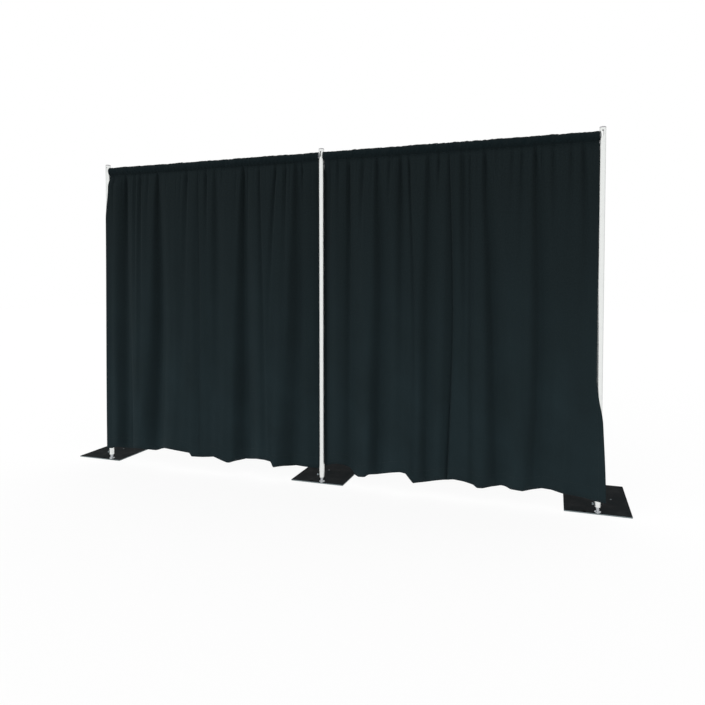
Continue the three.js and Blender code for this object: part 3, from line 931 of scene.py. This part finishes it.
    def gathers(self, x: np.ndarray, along: np.ndarray, level: np.ndarray,
                rng: np.random.Generator, hold: np.ndarray) -> np.ndarray:
        """Adds the narrow gathers below the pocket, the creases that run on down, and soft waves.

        Args:
            x: Where each point lies across the screen, rows of levels by columns.
            along: Distance across the panel by column.
            level: Shares of the drop by row.
            rng: The panel's own seeded generator.
            hold: 0 where the cloth has to keep its place, 1 where it is free, by column.

        Returns:
            How far each point lies behind the main folds.
        """
        c, s, out = self.cloth, self.screen, self.wing.value
        total = np.zeros_like(x)
        creases = list(self.creases)
        count = round(along[-1] / c.gather_pitch)
        first, last = sorted((out * x[0, 0] / s.span, out * x[0, -1] / s.span))
        for i in range(count):
            shift = rng.uniform(-c.gather_shift, c.gather_shift)
            at = first + (i + 0.5 + shift) * (last - first) / count
            places = (at, *(at + rng.normal(0, drift) for drift in c.gather_drift))
            life = float(rng.choice(c.gather_lives, p=c.gather_odds))
            creases.append(Crease(places, rng.uniform(*c.gather_depths), life,
                                  rng.uniform(*c.gather_widths)))
        for crease in creases:
            near = x - (out * follow(crease.places, level) * s.span)[:, None]
            deep = c.crease_share * c.loosened(level) * crease.depth(level)
            wide = crease.half_width(level)[:, None] * np.where(near > 0, *c.crease_sides)
            total += deep[:, None] * np.exp(-((near / wide) ** 2))
        for _ in range(c.wave_count):
            length, phase = rng.uniform(*c.wave_lengths), rng.uniform(*c.wave_phases)
            lean, quick = rng.normal(0, c.wave_lean), rng.uniform(*c.wave_swells)
            swell = c.wave_even + (1 - c.wave_even) * np.sin(level * quick + phase)
            height = c.wave_height * (c.wave_least + level) * swell
            wave = np.sin(2 * np.pi * along[None, :] / length + phase + lean * level[:, None])
            total += height[:, None] * wave
        return total * hold[None, :]

    def around(self, angle: float,
               radius: np.ndarray | float) -> tuple[np.ndarray | float, np.ndarray | float]:
        """Returns the y and z of a place round the rod pocket, by its angle and radius."""
        centre = self.screen.bar_z - self.cloth.pocket_drop
        return math.cos(angle) * radius, centre + math.sin(angle) * radius

    def surface(self) -> tuple[np.ndarray, np.ndarray, int]:
        """Builds the whole sheet from its hem up the front, over the bar and down the back.

        Returns:
            Points as rows by columns by three, the same grid's cloth coordinates, and the row of
            the pocket seam.
        """
        c, s = self.cloth, self.screen
        rng = np.random.default_rng(self.seed + c.crinkle_seed_step)
        x, y, z, along = self.middle()
        leaf = np.stack([x, y, z], axis=2)[::-1]
        top_x, seam_y, seam_z = x[0], y[0], float(z[0, 0])
        lapped = np.zeros(len(along))
        if self.laps_under:
            lapped = (top_x > self.knots(np.zeros(1))[-1].x[0] + 1e-5).astype(float)
        free = 1 - lapped
        crinkle = np.zeros(len(along))
        for pitch, size in c.crinkles:
            steps = np.arange(0, along[-1] + 2 * pitch, pitch)
            crinkle += np.interp(along, steps, rng.uniform(-1, 1, len(steps))) * size
        crinkle = np.clip(crinkle, -c.crinkle_most, c.crinkle_most) * free
        drift = c.flute_sway * np.sin(along * 2 * np.pi / c.flute_drift)
        fluting = (1 + np.sin(along * 2 * np.pi / c.flute_pitch + drift)) * free
        crumple = c.crinkle_front * np.abs(crinkle)
        start, stop = math.pi + c.pocket_side, -c.pocket_side
        rows = []
        front_y, front_z = self.around(start, c.pocket_radius)
        for share in c.front_shares:
            bow = math.sin(share * math.pi)
            row_y = (seam_y * (1 - share) + front_y * share - c.pocket_bow * bow
                     - crumple * share ** c.crinkle_power - c.flute_depth * bow * fluting
                     + c.lap_tuck * lapped)
            rows.append((row_y, seam_z + (front_z - seam_z) * share + 0 * along))
        for angle in np.linspace(start, stop, c.arc_rows):
            rolled = np.roll(crinkle, int(c.crinkle_roll * math.cos(angle)))
            full = (c.pocket_fullness + c.crinkle_top * rolled) * free
            rows.append(self.around(angle, c.pocket_radius + full - c.lap_sink * lapped))
        back_y, back_z = self.around(stop, c.pocket_radius)
        behind = seam_y + c.thickness * c.back_layers
        for share in c.back_shares:
            rest = max(share, 0)
            row_y = (behind * (1 - rest) + back_y * rest
                     + c.pocket_bow * math.sin(rest * math.pi)
                     + crumple * rest ** c.crinkle_power - c.lap_tuck * lapped * rest)
            rows.append((row_y, seam_z + (back_z - seam_z) * share + 0 * along))
        pocket = np.stack([np.stack([top_x, row_y, row_z], axis=1) for row_y, row_z in rows])
        points = np.concatenate([leaf, pocket]) + np.array([s.post_x, s.post_y, 0.0])
        wide = along[None, :] * c.flat[0] / along[-1]
        cloth = np.stack(np.broadcast_arrays(wide, distances(points)[:, None]), axis=2)
        return points, cloth, c.leaf_rows - 1

    def build(self, cloth_finish: bpy.types.Material,
              thread: bpy.types.Material) -> bpy.types.Object:
        """Makes the panel, its turned hems and its stitching, and sets them on their body.

        Args:
            cloth_finish: The cloth's material.
            thread: The stitching's material.

        Returns:
            The panel.
        """
        points, uv, seam_row = self.surface()
        panel = mesh_grids(f"{self.name}_cloth", [(points, uv)], cloth_finish)
        thicken(panel, self.cloth.thickness)
        normals = grid_normals(points)
        hems = self.turned_hems(points, normals, uv, cloth_finish)
        stitches = self.stitching(points, normals, seam_row, thread)
        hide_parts(self.name)
        for piece in (panel, hems, stitches):
            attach(piece, self.body)
        f"{self.wing.name.lower()}_bar_outer_tube"
        log.info("%s: %d columns by %d rows", panel.name, points.shape[1], points.shape[0])
        return panel

    def turned_hems(self, points: np.ndarray, normals: np.ndarray, uv: np.ndarray,
                    finish: bpy.types.Material) -> bpy.types.Object:
        """Makes the strips that are turned to the back at the hem and both sides.

        Args:
            points: The panel's grid.
            normals: Its normals, towards the back.
            uv: Its cloth coordinates.
            finish: The cloth's material.

        Returns:
            The strips as one piece.
        """
        c = self.cloth
        behind = points + normals * c.thickness * c.side_layers
        inner = points + normals * c.thickness * c.hem_layers
        rows = int(np.searchsorted(uv[:, 0, 1], c.hem_depth)) + 1
        across = uv[0, :, 0]
        left = int(np.searchsorted(across, c.side_hem)) + 1
        right = int(np.searchsorted(across, across[-1] - c.side_hem)) - 1
        leaf = c.leaf_rows - 2
        parts = [
            (inner[:rows], uv[:rows]),
            (behind[:leaf, :left], uv[:leaf, :left]),
            (behind[:leaf, right:], uv[:leaf, right:]),
        ]
        piece = mesh_grids(f"{self.name}_hems", parts, finish)
        thicken(piece, c.thickness)
        return piece

    def stitching(self, points: np.ndarray, normals: np.ndarray, seam_row: int,
                  finish: bpy.types.Material) -> bpy.types.Object:
        """Sews the pocket seam, the hem and the side hems with rows of lock stitches.

        Args:
            points: The panel's grid.
            normals: Its normals, towards the back.
            seam_row: The grid row of the pocket seam.
            finish: The thread's material.

        Returns:
            The stitches as one piece.
        """
        c = self.cloth
        front = points - normals * c.thickness * c.stitch_layers
        hem_row = int(np.searchsorted(distances(points), c.hem_depth - c.stitch_inset))
        lines = [(front[row], normals[row]) for row in (seam_row, hem_row)]
        top = seam_row - 1
        for col in (c.side_seam_column, points.shape[1] - 1 - c.side_seam_column):
            lines.append((front[:top, col], normals[:top, col]))
        vertices, faces = [], []
        for line, normal in lines:
            add_stitches(vertices, faces, line, normal, c.stitch, c.stitch_gap)
        return raw_mesh(f"{self.name}_stitches", np.array(vertices), faces, finish)


def distances(points: np.ndarray) -> np.ndarray:
    """Returns how far along each point of a line is, or each row of a grid on the average."""
    steps = np.linalg.norm(np.diff(points, axis=0), axis=-1)
    return np.concatenate([[0], np.cumsum(steps.reshape(len(steps), -1).mean(axis=1))])


def grid_normals(points: np.ndarray) -> np.ndarray:
    """Works out which way each point of a sheet faces.

    Args:
        points: The sheet as rows by columns by three.

    Returns:
        Unit normals on the same grid, towards +Y on a flat hanging sheet.
    """
    across = np.gradient(points, axis=1)
    up = np.gradient(points, axis=0)
    normal = np.cross(up, across)
    return normal / np.maximum(np.linalg.norm(normal, axis=2, keepdims=True), 1e-12)


def raw_mesh(name: str, vertices: np.ndarray, faces: list,
             finish: bpy.types.Material) -> bpy.types.Object:
    """Makes a mesh object in the scene.

    Args:
        name: The object's name.
        vertices: Points in metres.
        faces: Vertex numbers of each face.
        finish: Its material.

    Returns:
        The object.
    """
    mesh = bpy.data.meshes.new(name)
    mesh.from_pydata(vertices.tolist(), [], faces)
    mesh.materials.append(finish)
    mesh.update()
    obj = bpy.data.objects.new(name, mesh)
    bpy.context.scene.collection.objects.link(obj)
    return obj


def mesh_grids(name: str, parts: list[tuple[np.ndarray, np.ndarray]],
               finish: bpy.types.Material) -> bpy.types.Object:
    """Makes one smooth object from grids of points with their cloth coordinates.

    Args:
        name: The object's name.
        parts: Pairs of rows by columns by three points and rows by columns by two coordinates.
        finish: Its material.

    Returns:
        The object.
    """
    vertices, faces, coordinates, base = [], [], [], 0
    for points, uv in parts:
        rows, columns = points.shape[:2]
        vertices.append(points.reshape(-1, 3))
        coordinates.append(uv.reshape(-1, 2))
        index = base + np.arange(rows * columns).reshape(rows, columns)
        quads = np.stack([index[:-1, :-1], index[:-1, 1:], index[1:, 1:], index[1:, :-1]],
                         axis=2)
        faces.extend(quads.reshape(-1, 4).tolist())
        base += rows * columns
    obj = raw_mesh(name, np.concatenate(vertices), faces, finish)
    layer = obj.data.uv_layers.new(name="cloth")
    loops = np.zeros(len(obj.data.loops), np.int32)
    obj.data.loops.foreach_get("vertex_index", loops)
    layer.data.foreach_set("uv", np.concatenate(coordinates)[loops].astype(np.float32).ravel())
    obj.data.shade_smooth()
    return obj


def thicken(obj: bpy.types.Object, thickness: float) -> None:
    """Gives a sheet its thickness to both sides of its middle.

    Args:
        obj: The sheet.
        thickness: Its thickness in metres.
    """
    solid = obj.modifiers.new("cloth thickness", "SOLIDIFY")
    solid.thickness = thickness
    solid.offset = 0.0


def add_stitches(vertices: list, faces: list, line: np.ndarray, normal: np.ndarray,
                 length: float, gap: float) -> None:
    """Adds a row of stitches along a line on the cloth.

    Args:
        vertices: The list of points that grows.
        faces: The list of faces that grows.
        line: Points that the row follows.
        normal: The cloth's normals there.
        length: One stitch's length in metres.
        gap: The gap between stitches.
    """
    half_width, height, pinch = 0.00042, 0.00045, 0.4
    section = ((-1, -0.2), (1, -0.2), (0.6, 1), (-0.6, 1))
    run = distances(line)
    for start in np.arange(gap, run[-1] - length - gap, length + gap):
        ends = [np.array([np.interp(t, run, line[:, k]) for k in range(3)])
                for t in (start, start + length)]
        out = -np.array([np.interp(start, run, normal[:, k]) for k in range(3)])
        ahead = ends[1] - ends[0]
        ahead /= max(np.linalg.norm(ahead), 1e-9)
        side = np.cross(ahead, out)
        base = len(vertices)
        for centre, size in ((ends[0], pinch), ((ends[0] + ends[1]) / 2, 1.0), (ends[1], pinch)):
            for a, b in section:
                vertices.append(centre + side * half_width * a * size + out * height * b * size)
        for k in (0, 4):
            for j in range(4):
                here, beside = base + k + j, base + k + (j + 1) % 4
                faces.append([here, beside, beside + 4, here + 4])
        faces.append([base + 3, base + 2, base + 1, base])
        faces.append([base + 8, base + 9, base + 10, base + 11])


@dataclass
class Hardware:
    """The tubes, plates and fittings of the model, which only get their finishes here."""

    nodes: dict[str, bpy.types.Object]
    weld: float = 1e-6
    sharp: float = math.radians(35)

    def finishes(self) -> dict[str, bpy.types.Material]:
        """Makes the finishes.

        Returns:
            The finish of each kind of node, by the end of its name.
        """
        post = AnodisedAluminium("clear anodised aluminium post").build()
        bar = AnodisedAluminium("clear anodised aluminium bar", grain=Axis.ALONG_X).build()
        zinc = ZincPlatedSteel("bright zinc plated steel").build()
        knob = ZincPlatedSteel("zinc plated steel knob", colour="#8f999c",
                               cloud="#757f83").build()
        dull = ZincPlatedSteel("dulled zinc plated steel screw", colour="#6d7476",
                               cloud="#565d60", roughness=0.45).build()
        plate = BlackPowderCoat("black powder coated steel").build()
        grey = MouldedNylon("grey moulded nylon").build()
        black = MouldedNylon("black moulded nylon", colour="#141516", shade="#1c1d1e").build()
        plug = MouldedNylon("black moulded plug", colour="#020202", shade="#060606",
                            roughness=0.8, gloss=0.02).build()
        return {
            "upright_tube": post, "bar_outer_tube": bar, "bar_inner_tube": bar,
            "base_plate": plate, "base_pin": zinc, "pin_screw": zinc, "plate_screw": dull,
            "foot_thumbscrew": knob, "spare_hole_plug": plug, "top_cap": grey, "foot_bush": grey,
            "bar_mouth_bush": black, "bar_tail_bush": black, "end_plug": zinc,
            "hook_blade": zinc, "cross_pin": zinc,
        }

    def dress(self) -> None:
        """Gives every rigid node its finish and smooth shading over its round faces."""
        finishes = self.finishes()
        for name, node in self.nodes.items():
            kind = next((k for k in finishes if name.endswith(k)), None)
            if kind is None:
                continue
            node.data.materials.clear()
            node.data.materials.append(finishes[kind])
            flat = node.data.attributes.get("custom_normal")
            if flat is not None:
                node.data.attributes.remove(flat)
            node.data.shade_smooth()
            node.modifiers.new("joined corners", "WELD").merge_threshold = self.weld
            node.modifiers.new("sharp edges", "EDGE_SPLIT").split_angle = self.sharp
            log.info("%s: %s", name, finishes[kind].name)


@dataclass
class Studio:
    """A pale floor, even white light and the camera of the photograph."""

    screen: Screen
    eye: tuple[float, float, float] = (1.6025, -4.0661, 1.4491)
    yaw: float = 0.3231
    pitch: float = 0.0337
    focal_px: float = 600.0
    image_px: float = 705.0
    centre_up_px: float = 46.8
    centre_right_px: float = 0.6
    sensor_mm: float = 36.0
    view_depth: float = 60.0
    paper: str = "#ffffff"
    floor_colour: str = "#f4f4f4"
    floor_roughness: float = 0.9
    floor_reach: float = 30.0
    floor_glow: float = 1.06
    floor_glow_share: float = 0.82
    room_light: float = 0.77
    lamp_aim: tuple[float, float, float] = (0.68, 0.73, -0.04)
    lamp_spread: float = 50.0
    lamp_strength: float = 1.0

    def camera(self) -> None:
        """Sets the camera that was fitted to the posts and plates in the photograph."""
        data = bpy.data.cameras.new("camera")
        data.sensor_width = self.sensor_mm
        data.lens = self.focal_px / self.image_px * data.sensor_width
        data.shift_x = -self.centre_right_px / self.image_px
        data.shift_y = -self.centre_up_px / self.image_px
        data.clip_end = self.view_depth
        camera = bpy.data.objects.new("camera", data)
        camera.location = (self.screen.post_x + self.eye[0], self.screen.post_y + self.eye[1],
                           self.eye[2])
        camera.rotation_euler = (math.pi / 2 - self.pitch, 0.0, self.yaw)
        bpy.context.scene.collection.objects.link(camera)
        bpy.context.scene.camera = camera

    def floor(self) -> None:
        """Lays a matt white floor that the camera sees as white paper with soft shadows."""
        material = bpy.data.materials.new("white studio floor")
        material.use_nodes = True
        tree = material.node_tree
        shader = tree.nodes["Principled BSDF"]
        set_inputs(shader, Base_Color=linear(self.floor_colour), Roughness=self.floor_roughness)
        paper = add_node(tree, "ShaderNodeEmission", Color=linear(self.paper),
                         Strength=self.floor_glow)
        rays = add_node(tree, "ShaderNodeLightPath")
        gloss = add_node(tree, "ShaderNodeMath", {"operation": "MAXIMUM"},
                         i0=rays.outputs["Is Camera Ray"], i1=rays.outputs["Is Glossy Ray"])
        seen = add_node(tree, "ShaderNodeMath", {"operation": "MULTIPLY"},
                        i0=gloss.outputs[0], i1=self.floor_glow_share)
        mix = add_node(tree, "ShaderNodeMixShader", i0=seen.outputs[0],
                       i1=shader.outputs[0], i2=paper.outputs[0])
        set_inputs(tree.nodes["Material Output"], Surface=mix.outputs[0])
        corners = self.floor_reach * np.array([(-1, -1, 0), (1, -1, 0), (1, 1, 0), (-1, 1, 0)])
        floor = raw_mesh("floor", corners, [(0, 1, 2, 3)], material)

    def world(self) -> None:
        """Lights the room evenly, with pure white behind the object for the eye and in gloss."""
        world = bpy.data.worlds.new("studio")
        bpy.context.scene.world = world
        world.use_nodes = True
        tree = world.node_tree
        tree.nodes.clear()
        room, paper = (
            add_node(tree, "ShaderNodeBackground", Color=linear(self.paper), Strength=strength)
            for strength in (self.room_light, 1.0)
        )
        rays = add_node(tree, "ShaderNodeLightPath")
        gloss = add_node(tree, "ShaderNodeMath", {"operation": "MAXIMUM"},
                         i0=rays.outputs["Is Camera Ray"], i1=rays.outputs["Is Glossy Ray"])
        seen = add_node(tree, "ShaderNodeMath", {"operation": "MAXIMUM"},
                        i0=gloss.outputs[0], i1=rays.outputs["Is Transmission Ray"])
        mix = add_node(tree, "ShaderNodeMixShader", i0=seen.outputs[0],
                       i1=room.outputs[0], i2=paper.outputs[0])
        add_node(tree, "ShaderNodeOutputWorld", Surface=mix.outputs[0])

    def lamp(self) -> None:
        """Adds a broad, even light from far away, in front of the screen on its left."""
        data = bpy.data.lights.new("left_light", "SUN")
        data.angle = math.radians(self.lamp_spread)
        data.energy = self.lamp_strength
        lamp = bpy.data.objects.new("left_light", data)
        ahead = np.array(self.lamp_aim)
        tilt = math.acos(-ahead[2] / np.linalg.norm(ahead))
        lamp.rotation_euler = (tilt, 0.0, math.atan2(ahead[1], ahead[0]) - math.pi / 2)
        lamp.visible_glossy = False
        bpy.context.scene.collection.objects.link(lamp)

    def set_up(self) -> None:
        """Makes the camera, floor and lights."""
        bpy.context.scene.view_settings.view_transform = "Standard"
        self.camera()
        self.floor()
        self.world()
        self.lamp()
        log.info("studio ready")


def drapes(screen: Screen) -> list[Drape]:
    """Describes the four panels: where their folds hang, their creases and their hems.

    Args:
        screen: The places that they hang by.

    Returns:
        The panels of the left wing and then of the right one, the near one first.
    """
    left, right = (
        [Crease(row[:3], *row[3:]) for row in rows] for rows in (LEFT_CREASES, RIGHT_CREASES)
    )
    left_edge, right_edge = (0.545, 0.532, 0.538), (0.491, 0.512, 0.488)
    return [
        Drape(Wing.LEFT, Half.NEAR, screen, [
            Valley((0.103, 0.103, 0.126)), Valley((0.333, 0.339, 0.337)),
            Valley((0.467, 0.456, 0.470), 0.8, -1.4),
            Valley(left_edge, -1.0, -1.5, -MEETING_GAP)],
            left, LEFT_HEM, edge_reach=-0.05, seed=11),
        Drape(Wing.LEFT, Half.FAR, screen, [
            Valley(left_edge, -1.0, -1.5, MEETING_GAP), Valley((0.741, 0.735, 0.770)),
            Valley((0.905, 0.918, 0.927), 0.9, 0.9)],
            left, LEFT_HEM, overhang=0.028, lap_level=0.04, seed=12),
        Drape(Wing.RIGHT, Half.NEAR, screen, [
            Valley((0.114, 0.123, 0.128), 0.9, 0.8), Valley((0.225, 0.242, 0.223)),
            Valley((0.313, 0.333, 0.350), 0.5, -1.4), Valley((0.418, 0.417, 0.414), 0.8, 0.6),
            Valley(right_edge, 0.3, 0.1, -MEETING_GAP)],
            right, RIGHT_HEM, edge_reach=0.3, seed=13),
        Drape(Wing.RIGHT, Half.FAR, screen, [
            Valley(right_edge, 0.3, 0.1, MEETING_GAP), Valley((0.543, 0.566, 0.576), 0.6, -0.7),
            Valley((0.616, 0.653, 0.660)), Valley((0.786, 0.811, 0.798), 0.8, 0.7)],
            right, RIGHT_HEM, overhang=0.046, lap_level=0.66, edge_reach=0.3, seed=14),
    ]


def main() -> None:
    """Sets up the studio, finishes the rigid pieces and hangs the drapes."""
    logging.basicConfig(level=logging.INFO, format="%(name)s: %(message)s")
    screen = Screen.measured()
    Studio(screen).set_up()
    Hardware(frame["nodes"]).dress()
    cloth = WovenPolyester("black woven polyester").build()
    thread = SewingThread("black polyester thread").build()
    for drape in drapes(screen):
        drape.build(cloth, thread)


if __name__ == "__main__":
    main()
